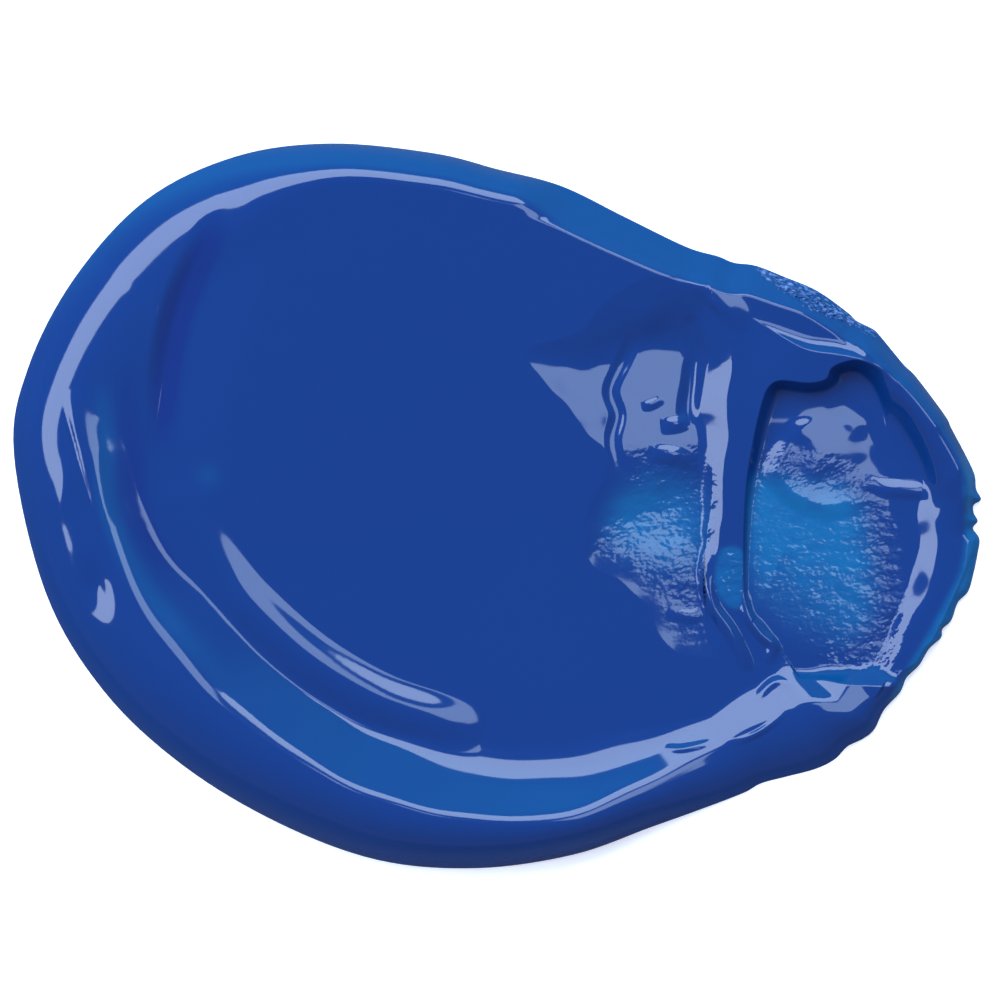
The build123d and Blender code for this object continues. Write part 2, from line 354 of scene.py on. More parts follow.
SECOND_PLATE = [(17.0, 1.8), (18.2, 4.4), (20.6, 6.6), (22.6, 6.2), (24.8, 2.4), (23.2, 0.4), (20.0, -0.4)]

# Areas with grain, thin paint or crust
ROUGH_FIRST = [
    (5.0, 2.6), (8.0, 3.0), (13.6, 2.2), (14.0, -2.4), (13.8, -7.6), (12.4, -10.4), (9.4, -8.4),
    (6.4, -5.6), (4.6, -2.0),
]
ROUGH_SECOND = [
    (16.2, 2.4), (19.5, 3.2), (23.4, 1.0), (25.0, -3.0), (24.8, -9.8), (21.0, -9.8), (17.4, -8.0),
    (16.0, -5.0),
]
WINDOW = [(14.0, -2.8), (15.3, -3.0), (15.2, -6.2), (14.1, -6.0), (13.6, -4.6)]
THIN_FIRST = [(6.6, 0.8), (10.5, 1.4), (12.6, 0.0), (12.4, -3.0), (9.0, -4.0), (6.6, -2.4)]
THIN_SECOND = [(15.8, 1.0), (19.5, 1.2), (22.4, 0.0), (23.2, -6.4), (20.5, -8.4), (16.4, -6.6)]
TORN_EDGE = [
    (29.2, 3.4), (31.5, 2.0), (31.5, -6.0), (25.0, -14.0), (24.6, -12.2), (27.4, -7.2), (29.2, -3.0),
]
CRUSTED = [
    (15.6, 15.6), (16.4, 14.3), (18.5, 12.9), (20.0, 12.0), (22.4, 11.0), (24.6, 10.0), (24.6, 12.0),
    (20.0, 15.0),
]


def coarse(step):
    """Places over the whole canvas, a step apart."""
    return np.meshgrid(
        np.arange(-HALF_LENGTH, HALF_LENGTH + step, step), np.arange(-HALF_WIDTH, HALF_WIDTH + step, step)
    )


def refine(field, step):
    """A coarse field brought to the canvas's own cells."""
    u = (GROUND_X[0] + HALF_LENGTH) / step
    v = (GROUND_Y[:, 0] + HALF_WIDTH) / step
    iu = np.clip(u.astype(int), 0, field.shape[1] - 2)
    iv = np.clip(v.astype(int), 0, field.shape[0] - 2)
    fu = (u - iu)[None, :]
    fv = (v - iv)[:, None]
    near_row = field[iv][:, iu] * (1 - fu) + field[iv][:, iu + 1] * fu
    far_row = field[iv + 1][:, iu] * (1 - fu) + field[iv + 1][:, iu + 1] * fu
    return near_row * (1 - fv) + far_row * fv


def depth_inside(points, step=0.15):
    """How far each place lies inside a closed outline."""
    line = curve(points, closed=True)
    gap, _ = nearest(line, *coarse(step))
    return blur(refine(gap * turning(line), step), 0.06)


def edge_sections(step=0.3):
    """The edge's own measures, carried inwards from the outline to every place."""
    _, values = nearest(curve(EDGE, closed=True), *coarse(step))
    return [blur(refine(value, step), 0.4) for value in values]


def line_fields(points, step=0.1):
    """Distance to the left of an open line (negative on its right), and the line's own values beside it."""
    gap, values = nearest(curve(points), *coarse(step))
    return [blur(refine(field, step), 0.08) for field in [gap] + values]


def distance_from(points):
    """How far each place lies to the left of an open line (negative on its right)."""
    return line_fields(points)[0]


def falling(distance, angle):
    """How far a slope of a given angle has fallen at each distance past its upper edge."""
    return np.clip(distance, 0, None) * math.tan(math.radians(angle))


def shape_pool(depth, crest, rise, width, round_part, foot_part, waver, fine_waver):
    """The dished pool and the bank of its rim, with the ridges and grooves inside the rim."""
    # The pool falls gently from the upper edge, where it was left thick, towards the rim and the pulls
    top = POOL_LEVEL + POOL_RISE * 0.5 * (GROUND_Y + 6 + np.sqrt((GROUND_Y + 6) ** 2 + 16))
    top -= POOL_FALL * 0.5 * (GROUND_X - 6 + np.sqrt((GROUND_X - 6) ** 2 + 9))
    top += WAVER_HEIGHT * waver + FINE_WAVER_HEIGHT * fine_waver
    top += rise * bank((depth - crest) / width, round_part, foot_part)
    stroke(top, TERRACE, left=1.85, right=2.0)
    # The left of the pool: a sharp low ridge inside the rounded edge, a soft groove, a swell and a dent
    stroke(top, LEFT_RIDGE, left=1.6, right=0.55)
    stroke(top, LEFT_GROOVE, left=1.4, right=4.6)
    blob(top, x=-27.0, y=0.9, height=0.12, along=0.9, across=1.6, angle=-8.0)
    blob(top, x=-24.95, y=-5.2, height=-0.34, along=0.8, across=1.5, angle=14.0)
    # The upper right edge falls in one straight slope from a crisp shoulder
    straight_edge = smoothstep((GROUND_X - 1.0) / 4.0) * smoothstep((GROUND_Y - 6.0) / 4.0)
    top += straight_edge * (smooth_min(top, 0.5 + 0.8 * depth, 0.12) - top)
    return top


def turn_fold(top):
    """The fold: a long ridge along the upper right, steep outside, its top tilted towards the pulls."""
    stroke(top, FOLD_TICK, left=1.4, right=0.7)
    for ridge in TAIL_RIDGES:
        stroke(top, ridge, left=0.3, right=0.35)
    stroke(top, TAIL_HOOK, left=0.45, right=0.45)
    gap, crest_height = line_fields(FOLD_CREST)
    fold = crest_height - falling(gap, FOLD_OUTER_SLOPE) - falling(-gap, FOLD_TOP_SLOPE)
    return smooth_max(top, fold, 0.25)


def scrape_first(top, waver, fine_waver):
    """The first pull: a basin scraped down from the pool to a thin film. Also gives where it is."""
    left = distance_from(FIRST_LEFT)
    above = distance_from(FIRST_ABOVE) + (0.4 * waver + 0.15 * fine_waver)
    right = distance_from(FIRST_RIGHT) + 0.08 * fine_waver
    below = distance_from(FIRST_BELOW) + (0.4 * waver + 0.15 * fine_waver)
    lobes = 2.15 - 0.125 * (GROUND_X - 1.4) - 0.05 * (GROUND_Y - 9.5) + 0.015 * fine_waver
    upper_half = smoothstep((GROUND_Y + 1.5) / 5.5)
    fall_left = upper_half * (top - lobes) + (1 - upper_half) * falling(left, FIRST_LEFT_SLOPE)
    upper_wall = falling(right, FIRST_WALL_SLOPE)
    lower_wall = np.maximum(upper_wall, falling(right - 0.4, FIRST_WALL_FOOT_SLOPE))
    wall = upper_half * upper_wall + (1 - upper_half) * lower_wall
    fall = smooth_min(top - FIRST_LEVEL, fall_left, 0.2)
    fall = smooth_min(fall, falling(below, FIRST_BELOW_SLOPE), 0.2)
    fall = smooth_min(fall, falling(above, FIRST_ABOVE_SLOPE), 0.3)
    fall = smooth_min(fall, wall, 0.2)
    top -= np.clip(fall, 0, None)
    stroke(top, FIRST_GAP, left=0.6, right=0.6, flat=0.1)
    for line, reach_left, reach_right in FIRST_MARKS:
        stroke(top, line, reach_left, reach_right)
    return smoothstep(fall / 0.4)


def scrape_second(top, fine_waver):
    """The second pull: a basin with steep sides under the fold and beside the cross ridge."""
    stroke(top, END_RIDGE, left=1.5, right=2.2, flat=0.3)
    stroke(top, END_SWELLS, left=0.5, right=0.9)
    end_bank = distance_from(SECOND_END) + 0.1 * fine_waver
    end_height = 0.48 * smoothstep((5.6 - GROUND_Y) / 2.2)
    floor = SECOND_LEVEL + 0.06 * np.clip(24.5 - GROUND_X, 0, 8.5) - 0.02 * np.clip(GROUND_Y + 4, -4, 8)
    floor += smooth_min(falling(end_bank, SECOND_END_SLOPE), end_height, 0.1)
    tilt = 0.12 - 0.075 * (GROUND_X - 20.5) - 0.05 * (GROUND_Y - 3.0)
    floor += inside(SECOND_PLATE, 1.3) * (tilt + 0.05 * fine_waver)
    stroke(floor, SECOND_ARM, left=0.7, right=0.7)
    above = distance_from(SECOND_ABOVE)
    fall = smooth_min(top - floor, falling(distance_from(SECOND_LEFT), SECOND_LEFT_SLOPE), 0.4)
    open_end = smoothstep((GROUND_X - 22.4) / 2.2)
    lip_wall = (1 - open_end) * falling(above, SECOND_LIP_SLOPE)
    lip_wall += open_end * falling(above, SECOND_OPEN_SLOPE)
    fall = smooth_min(fall, lip_wall, 0.5)
    fall = smooth_min(fall, falling(distance_from(SECOND_BELOW), SECOND_BELOW_SLOPE), 0.3)
    top -= np.clip(fall, 0, None)
    # Two thin ridges beside the small window at the cross ridge's foot, and a hole in the end bank
    for line, reach_left, reach_right in THIN_RIDGES:
        stroke(top, line, reach_left, reach_right)
    blob(top, x=24.7, y=-7.4, height=-0.12, along=0.3, across=0.8, angle=-25.0)
    return smoothstep(fall / 0.5)


def roughen(top, first, second):
    """The films' grain and the crust. Also gives the masks for grain, thin and dry paint."""
    leather = 0.5 * grain(5, 0.26, 0.14, GRAIN_ANGLE) + 0.25 * grain(6, 0.12, 0.09, GRAIN_ANGLE)
    leather += 0.9 * grain(9, 0.9, 0.45, GRAIN_ANGLE)
    window_mask = inside(WINDOW, 0.5)
    marks = inside(ROUGH_FIRST, 3.2) * first + inside(ROUGH_SECOND, 1.8) * second + window_mask
    marks = np.clip(marks, 0, 1)
    thin = 0.75 * inside(THIN_FIRST, 3.6) * first + inside(THIN_SECOND, 2.6) * second + 0.6 * window_mask
    thin = np.clip(np.clip(thin, 0, 1) + 0.8 * inside(TORN_EDGE, 0.7), 0, 1)
    # The blade left the thinnest film smoother
    marks *= 1 - 0.84 * thin * (1 - window_mask)
    top += GRAIN_HEIGHT * marks * leather
    dry = inside(CRUSTED, 0.4)
    top += CRUST_HEIGHT * dry * (grain(7, 0.16, 0.10, CRUST_ANGLE) + grain(8, 0.35, 0.14, CRUST_ANGLE))
    return marks, thin, dry


def painted_light_and_shade_stripes():
    """Painted light and painted shade on the left bank, beyond what its slope alone gives: a lighter stripe
    and spot, and painted shade along its groove and in a second darker stripe.
    """
    painted_light_and_shade = np.zeros(GROUND_X.shape)
    stroke(painted_light_and_shade, PAINTED_LIGHT_STRIPE, left=1.0, right=1.0)
    blob(painted_light_and_shade, x=-18.0, y=1.8, height=0.4, along=0.7, across=0.7)
    stroke(painted_light_and_shade, PAINTED_SHADE_GROOVE, left=1.5, right=1.1)
    stroke(painted_light_and_shade, PAINTED_SHADE_STRIPE, left=1.2, right=1.2)
    return painted_light_and_shade


def model_relief():
    """The whole dab as fields over the canvas: its top, the distance in from its outline, and its masks."""
    depth = depth_inside(OUTLINE)
    edge, crest, rise, width, round_part, foot_part = edge_sections()
    waver = grain(21, 5.0, 5.0)
    fine_waver = grain(22, 2.0, 2.0)
    crest += 0.09 * waver
    top = shape_pool(depth, crest, rise, width, round_part, foot_part, waver, fine_waver)
    top = turn_fold(top)
    first = scrape_first(top, waver, fine_waver)
    second = scrape_second(top, fine_waver)
    marks, thin, dry = roughen(top, first, second)
    return {"top": top, "depth": depth, "edge": edge, "thin": thin, "grain": marks, "dry": dry}


def relief_height(top, depth, edge):
    """The paint's height: its top, rounded over at the outline in an arc that starts steep."""
    q = 1 - np.clip(depth / edge, 0, 1)
    low = math.sqrt(1 - CONTACT**2)
    return top * ((np.sqrt(1 - (CONTACT * q) ** 2) - low) / (1 - low))


def painted_light_lean(slope_x, slope_y):
    """How far the paint leans towards the key light, as the share of painted light in its colour: 0 where
    it is level, 1 where it is fully turned.
    """
    lean = 0.25 * slope_x + 0.97 * slope_y
    return smoothstep((-lean - 0.15) / 0.75)


# ---- the lines that part the stretches of paint
POOL_TOP = (5.6, 16.4)
POOL_FOOT = (5.0, -15.7)
RIM_TOP = (10.6, 14.4)
RIM_FOOT = (12.2, -14.4)
CROSS_TOP_LEFT = (13.2, 11.6)
CROSS_TOP_RIGHT = (17.2, 9.0)
CROSS_FOOT_LEFT = (14.2, -9.6)
CROSS_FOOT_RIGHT = (17.2, -8.0)
LIP_END = (23.8, 8.8)
TAIL_END = (24.0, -9.8)
TAIL_CORNER = (24.9, -10.5)
RIM_OUTER_TOP = (11.0, 16.5)
RIM_OUTER_FOOT = (13.3, -18.8)
LIP_OUTER_END = (25.4, 8.8)
CRUST_START = (15.4, 15.0)
CRUST_END = (24.6, 9.8)
FRINGE_START = (24.2, -12.8)
FRINGE_END = (29.6, 2.4)

RIM_ABOVE_PULL = [POOL_TOP, (8.2, 15.6), RIM_TOP]
POOL_NORTH = [(-14.4, 18.2), (-8.6, 19.2), (-1.0, 18.2), POOL_TOP]
POOL_WEST = [(-19.2, -2.6), (-21.2, 3.4), (-20.6, 9.4), (-18.4, 14.8), (-14.4, 18.2)]
POOL_SOUTH = [(-19.2, -2.6), (-15.4, -7.8), (-11.6, -11.6), (-7.0, -14.4), (-1.0, -15.5), POOL_FOOT]
RIM_BELOW_PULL = [POOL_FOOT, (8.6, -15.4), RIM_FOOT]
POOL_EDGE = [POOL_FOOT, (5.8, -8.0), (4.6, -1.6), (3.2, 4.0), (1.4, 10.0), POOL_TOP]
FOLD_OVER_PULL = [RIM_TOP, (12.2, 13.2), CROSS_TOP_LEFT]
CROSS_LEFT = [CROSS_FOOT_LEFT, (12.9, -6.0), (13.0, -2.0), (13.2, 3.0), (13.7, 8.0), CROSS_TOP_LEFT]
TAIL_BELOW_PULL = [RIM_FOOT, (14.2, -12.4), CROSS_FOOT_LEFT]
CROSS_TOP = [CROSS_TOP_LEFT, (15.6, 10.8), CROSS_TOP_RIGHT]
CROSS_RIGHT = [CROSS_FOOT_RIGHT, (15.9, -6.0), (15.7, -2.0), (15.9, 3.0), (16.5, 6.6), CROSS_TOP_RIGHT]
CROSS_FOOT = [CROSS_FOOT_LEFT, (15.8, -9.3), CROSS_FOOT_RIGHT]
FOLD_LIP = [CROSS_TOP_RIGHT, (18.6, 7.7), (20.3, 7.8), (21.6, 8.8), LIP_END]
END_FOOT = [TAIL_END, (25.4, -6.0), (26.4, -2.0), (26.6, 2.6), (25.8, 6.2), LIP_END]
TAIL_TOP = [CROSS_FOOT_RIGHT, (20.0, -8.9), (22.4, -9.5), TAIL_END]
STEP_LINE = [(-18.8, -0.6), (-15.4, -5.6), (-11.6, -9.2), (-7.2, -11.9), (-1.8, -13.6)]
FRINGE_EDGE = [TAIL_CORNER, (25.8, -9.2), (28.0, -5.8), (29.3, -2.2), FRINGE_END]
CRUST_EDGE = [CRUST_START, (16.6, 14.2), (18.8, 12.8), (21.0, 11.7), (23.0, 10.7), CRUST_END]
# The terrace lies in a hollow of the pool, this wide and deep, and thins to nothing over its ends' share
STEP_WIDTH = 1.8
STEP_HOLLOW = 0.2
STEP_SIDE = 0.4
STEP_END_SHARE = 0.08
THINNEST_STEP = 0.004
# The least height of paint, and how far in the exact distance from the outline is used
CONTACT_LIP = 0.02
EXACT_REACH = 0.8
# Within this distance of the outline the mesh's own normals fade into the relief's
SEAM_FADE = 0.35
WELD = 1e-7
# The share of the lighter blue on level paint, and the further share of painted light where the paint faces
# the key light
BASE_TONE = 0.25
PAINTED_LIGHT_TONE = 0.75


def joined(*runs):
    """Smooth runs end to end, without the doubled points where they meet."""
    lines = [curve(run) for run in runs]
    return np.vstack([lines[0]] + [line[1:] for line in lines[1:]])


def straight(a, b):
    """A straight line between two places."""
    return np.array([a, b], float)


def outline_run(start, end):
    """The outline's own stretch from one place to another, clockwise."""
    line = curve(OUTLINE, closed=True)[:-1]
    first = int(np.argmin(np.hypot(line[:, 0] - start[0], line[:, 1] - start[1])))
    last = int(np.argmin(np.hypot(line[:, 0] - end[0], line[:, 1] - end[1])))
    if last < first:
        return np.vstack([line[first:], line[: last + 1]])
    return line[first : last + 1]


def along(line, t):
    """Places at shares t of a line's length."""
    length = np.concatenate([[0], np.cumsum(np.hypot(np.diff(line[:, 0]), np.diff(line[:, 1])))])
    return np.stack([np.interp(t * length[-1], length, line[:, i]) for i in (0, 1)], axis=-1)


def spread(near, far, u, v, start, end):
    """A flat patch stretched between a near line (v = 0) and a far line (v = 1) and their end lines."""
    sides = (1 - v)[:, None] * along(near, u) + v[:, None] * along(far, u)
    ends = (1 - u)[:, None] * along(start, v) + u[:, None] * along(end, v)
    corners = (
        ((1 - u) * (1 - v))[:, None] * near[0]
        + (u * (1 - v))[:, None] * near[-1]
        + ((1 - u) * v)[:, None] * far[0]
        + (u * v)[:, None] * far[-1]
    )
    return sides + ends - corners


def sample(field, x, y):
    """A canvas field's value at any place."""
    u = np.clip((x + HALF_LENGTH) / CELL, 0, COLUMNS - 1.001)
    v = np.clip((y + HALF_WIDTH) / CELL, 0, ROWS - 1.001)
    i = u.astype(int)
    j = v.astype(int)
    u = u - i
    v = v - j
    lower = field[j, i] * (1 - u) + field[j, i + 1] * u
    upper = field[j + 1, i] * (1 - u) + field[j + 1, i + 1] * u
    return lower * (1 - v) + upper * v


def exact_depth(x, y):
    """Distance in from the outline, exact near the outline, where the paint's edge stands steep."""
    depth = sample(relief["depth"], x, y)
    close = depth < EXACT_REACH
    gap, _ = nearest(curve(OUTLINE, closed=True), x[close], y[close])
    depth[close] = np.abs(gap)
    return depth


def height_at(x, y):
    """The paint's height at any place."""
    top = sample(relief["top"], x, y)
    return np.maximum(relief_height(top, exact_depth(x, y), sample(relief["edge"], x, y)), CONTACT_LIP)


# ---- closed stretches of paint as meshes
def mesh_of(shape, name):
    """A finished bmesh as a mesh."""
    mesh = bpy.data.meshes.new(name)
    shape.to_mesh(mesh)
    shape.free()
    return mesh


def add_object(name, data):
    """A new object in the scene."""
    item = bpy.data.objects.new(name, data)
    bpy.context.scene.collection.objects.link(item)
    return item


def read_numbers(items, name, count, kind=np.float32):
    """One number or more for each item of a mesh, as a flat array."""
    numbers = np.empty(len(items) * count, kind)
    items.foreach_get(name, numbers)
    return numbers


def set_places(mesh, place, height):
    """Moves a mesh's vertices to places and heights in millimetres."""
    co = np.column_stack([place, height]) * MM
    mesh.vertices.foreach_set("co", co.astype(np.float32).ravel())


def grid(columns, rows, dense_start):
    """A flat grid as a mesh, with each vertex's shares across it, denser near v = 0 when asked."""
    shape = bmesh.new()
    bmesh.ops.create_grid(shape, x_segments=columns, y_segments=rows, size=1.0)
    mesh = mesh_of(shape, "stretch")
    place = read_numbers(mesh.vertices, "co", 3).reshape(-1, 3).astype(float)
    u = np.clip((place[:, 0] + 1) / 2, 0, 1)
    v = np.clip((place[:, 1] + 1) / 2, 0, 1) ** dense_start
    return mesh, u, v


def close_below(mesh):
    """Walls the open border down to the ground and fills the underside in."""
    shape = bmesh.new()
    shape.from_mesh(mesh)
    bmesh.ops.remove_doubles(shape, verts=shape.verts, dist=WELD)
    for face in shape.faces:
        face.smooth = True
    border = [edge for edge in shape.edges if edge.is_boundary]
    for item in bmesh.ops.extrude_edge_only(shape, edges=border)["geom"]:
        if isinstance(item, bmesh.types.BMVert):
            item.co.z = 0.0
        if isinstance(item, bmesh.types.BMFace):
            item.smooth = False
    foot = [edge for edge in shape.edges if edge.is_boundary]
    for face in bmesh.ops.edgeloop_fill(shape, edges=foot)["faces"]:
        face.smooth = False
    bmesh.ops.recalc_face_normals(shape, faces=shape.faces)
    shape.to_mesh(mesh)
    shape.free()


def make_piece(name, node, material, sides, cells, dense_start=1.0, hollow=None):
    """One stretch between its near, far, start and end lines, its top on the relief, its foot flat."""
    near, far, start, end = sides
    mesh, u, v = grid(*cells, dense_start)
    place = spread(near, far, u, v, start, end)
    height = height_at(place[:, 0], place[:, 1])
    if hollow is not None:
        height -= sample(hollow, place[:, 0], place[:, 1])
    set_places(mesh, place, height)
    close_below(mesh)
    return dress_piece(name, node, material, mesh)


def make_ribbon(name, node, material, line, half_width, hollow, cells):
    """A stretch that lies in a hollow of the paint under it, with its top on the relief."""
    columns, rows = cells
    mesh, u, v = grid(columns, rows, 1.0)
    run = np.gradient(line, axis=0)
    run /= np.linalg.norm(run, axis=1, keepdims=True)
    aside = np.stack([-run[:, 1], run[:, 0]], axis=-1) * half_width
    place = (1 - v)[:, None] * along(line - aside, u) + v[:, None] * along(line + aside, u)
    height = height_at(place[:, 0], place[:, 1])
    border = np.minimum(np.minimum(u, 1 - u) * columns, np.minimum(v, 1 - v) * rows) < 0.5
    dip = np.where(border, 0, np.maximum(sample(hollow, place[:, 0], place[:, 1]), THINNEST_STEP))
    under = mesh.copy()
    set_places(mesh, place, height)
    set_places(under, place, height - dip)
    shape = bmesh.new()
    shape.from_mesh(mesh)
    for face in shape.faces:
        face.smooth = True
    upper_count = len(shape.faces)
    shape.from_mesh(under)
    shape.faces.ensure_lookup_table()
    under_faces = shape.faces[upper_count:]
    for face in under_faces:
        face.smooth = False
    bmesh.ops.reverse_faces(shape, faces=under_faces)
    bmesh.ops.remove_doubles(shape, verts=shape.verts, dist=WELD)
    bmesh.ops.recalc_face_normals(shape, faces=shape.faces)
    shape.to_mesh(mesh)
    shape.free()
    bpy.data.meshes.remove(under)
    return dress_piece(name, node, material, mesh)


def follow_relief(mesh, x, y):
    """Gives the top the relief's own normals, so that neighbouring stretches shade as one surface."""
    slope_x = sample(relief["slope_x"], x, y)
    slope_y = sample(relief["slope_y"], x, y)
    slope = np.stack([-slope_x, -slope_y, np.ones_like(x)], -1)
    slope /= np.linalg.norm(slope, axis=1, keepdims=True)
    corner = read_numbers(mesh.loops, "vertex_index", 1, np.int32)
    normals = read_numbers(mesh.corner_normals, "vector", 3).reshape(-1, 3)
    smooth = read_numbers(mesh.polygons, "use_smooth", 1, bool)
    on_top = np.repeat(smooth, read_numbers(mesh.polygons, "loop_total", 1, np.int32))
    depth = sample(relief["depth"], x, y)
    trust = smoothstep((depth - 0.5 * SEAM_FADE) / SEAM_FADE)[corner] * on_top
    blended = normals * (1 - trust)[:, None] + slope[corner] * trust[:, None]
    blended /= np.linalg.norm(blended, axis=1, keepdims=True)
    mesh.normals_split_custom_set(blended.tolist())


def dress_piece(name, node, material, mesh):
    """Gives a closed stretch its shading, its paint masks, its material and its place in the frame."""
    x, y, _ = read_numbers(mesh.vertices, "co", 3).reshape(-1, 3).astype(float).T / MM
    follow_relief(mesh, x, y)
    # The tone mask carries the painted light and shade to each piece
    for mask in ("thin", "grain", "dry", "tone_with_painted_light"):
        layer = mesh.attributes.new(name=mask, type="FLOAT", domain="POINT")
        layer.data.foreach_set("value", sample(relief[mask], x, y).astype(np.float32))
    piece = add_object(name, mesh)
    mesh.materials.append(material)
    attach(piece, "root")
    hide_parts(node)
    return piece


# ---- materials
DEEP_BLUE = (0.001, 0.0205, 0.142, 1)
# The lighter blue, painted in as light where the paint faces the key light
PAINTED_LIGHT_BLUE = (0.0003, 0.056, 0.188, 1)
FILM_BLUE = (0.0, 0.103, 0.265, 1)
# Painted glints on the tops of the crust's marks
PAINTED_GLINT_BLUE = (0.1, 0.19, 0.42, 1)
PAINT_IOR = 1.47
GLOSS = 0.07
SKIN_BUMP = 0.00001
# The fine marks' size, and their height in metres
FILM_FINENESS = 2600.0
FILM_BUMP = 0.00003
CRUST_FINENESS = 4200.0
CRUST_BUMP = 0.00008
# The marks' heights over which the painted glints fade in
PAINTED_GLINT_RANGE = (0.5, 0.64)
GROUND_SHADES = (0.9, 0.93)
GROUND_GLOW = 0.32
GROUND_IN_GLOSS = (0.12, 0.12, 0.14, 1)
WHITE = (1, 1, 1, 1)


def link(tree, source, target):
    """Joins an output to an input."""
    tree.links.new(source, target)


def math_node(tree, operation, first, second):
    """A Math node; each operand is a number or another node's output."""
    node = tree.nodes.new("ShaderNodeMath")
    node.operation = operation
    for socket, value in zip(node.inputs, (first, second)):
        if isinstance(value, (int, float)):
            socket.default_value = value
        else:
            link(tree, value, socket)
    return node.outputs[0]


def mask_value(tree, name):
    """One of the paint's own masks."""
    node = tree.nodes.new("ShaderNodeAttribute")
    node.attribute_name = name
    return node.outputs["Fac"]


def noise_value(tree, scale, detail, stretch=(1, 1, 1)):
    """Noise over the object's own coordinates, finer along the axes with a larger stretch."""
    coordinates = tree.nodes.new("ShaderNodeTexCoord")
    mapping = tree.nodes.new("ShaderNodeMapping")
    mapping.inputs["Scale"].default_value = stretch
    link(tree, coordinates.outputs["Object"], mapping.inputs["Vector"])
    noise = tree.nodes.new("ShaderNodeTexNoise")
    noise.inputs["Scale"].default_value = scale
    noise.inputs["Detail"].default_value = detail
    link(tree, mapping.outputs["Vector"], noise.inputs["Vector"])
    return noise.outputs["Fac"]


def blend_colour(tree, amount, first, second):
    """A mix of two colours; each is a value or another node's output."""
    node = tree.nodes.new("ShaderNodeMix")
    node.data_type = "RGBA"
    link(tree, amount, node.inputs["Factor"])
    for socket, value in ((node.inputs["A"], first), (node.inputs["B"], second)):
        if isinstance(value, tuple):
            socket.default_value = value
        else:
            link(tree, value, socket)
    return node.outputs["Result"]


def paint_body_group():
    """The blue itself: deep blue, with painted light (a lighter, greener blue) on slopes that face the key
    light, painted light and shade along the left bank, and clear cyan where scraped thin.
    """
    tree = bpy.data.node_groups.new("paint_body", "ShaderNodeTree")
    tree.interface.new_socket("Color", in_out="OUTPUT", socket_type="NodeSocketColor")
    tree.interface.new_socket("Roughness", in_out="OUTPUT", socket_type="NodeSocketFloat")
    tree.interface.new_socket("Height", in_out="OUTPUT", socket_type="NodeSocketFloat")
    out = tree.nodes.new("NodeGroupOutput")
    drift = noise_value(tree, 60.0, 3.0, (0.5, 1.6, 1.0))
    tone_with_painted_light = math_node(tree, "ADD", mask_value(tree, "tone_with_painted_light"), math_node(tree, "MULTIPLY", drift, 0.08))
    # The lighter blue is painted light: its share is the tone mask plus a little random drift
    body_with_painted_light = blend_colour(tree, tone_with_painted_light, DEEP_BLUE, PAINTED_LIGHT_BLUE)
    patchy = math_node(tree, "ADD", noise_value(tree, 900.0, 3.0, (0.6, 1.3, 1.0)), 0.5)
    thin_share = math_node(tree, "MULTIPLY", mask_value(tree, "thin"), patchy)
    body = blend_colour(tree, thin_share, body_with_painted_light, FILM_BLUE)
    link(tree, body, out.inputs["Color"])
    dull = math_node(tree, "MULTIPLY", noise_value(tree, 500.0, 2.0), 0.03)
    link(tree, math_node(tree, "ADD", dull, GLOSS - 0.015), out.inputs["Roughness"])
    link(tree, noise_value(tree, 160.0, 1.0, (0.4, 1.4, 1.0)), out.inputs["Height"])
    return tree


def scrape_group():
    """Fine marks a dragged blade leaves where the mask is: how much duller and how high they are."""
    tree = bpy.data.node_groups.new("scrape_marks", "ShaderNodeTree")
    mask = tree.interface.new_socket("Mask", in_out="INPUT", socket_type="NodeSocketFloat")
    mask.default_value = 0.0
    size = tree.interface.new_socket("Fineness", in_out="INPUT", socket_type="NodeSocketFloat")
    size.default_value = FILM_FINENESS
    tree.interface.new_socket("Dullness", in_out="OUTPUT", socket_type="NodeSocketFloat")
    tree.interface.new_socket("Height", in_out="OUTPUT", socket_type="NodeSocketFloat")
    given = tree.nodes.new("NodeGroupInput")
    out = tree.nodes.new("NodeGroupOutput")
    marks = noise_value(tree, FILM_FINENESS, 3.0, (0.5, 1.2, 1.0))
    link(tree, given.outputs["Fineness"], marks.node.inputs["Scale"])
    masked = math_node(tree, "MULTIPLY", marks, given.outputs["Mask"])
    link(tree, masked, out.inputs["Height"])
    link(tree, math_node(tree, "MULTIPLY", masked, 0.3), out.inputs["Dullness"])
    return tree


def painted_glint_mask(tree, height):
    """Only the tops of the marks, as a mask from 0 to 1, where painted glints go."""
    tops = tree.nodes.new("ShaderNodeMapRange")
    tops.inputs["From Min"].default_value = PAINTED_GLINT_RANGE[0]
    tops.inputs["From Max"].default_value = PAINTED_GLINT_RANGE[1]
    link(tree, height, tops.inputs["Value"])
    return tops.outputs["Result"]


def new_material(name):
    """A new material, with its node tree and its Principled shader."""
    material = bpy.data.materials.new(name)
    material.use_nodes = True
    return material, material.node_tree, material.node_tree.nodes["Principled BSDF"]


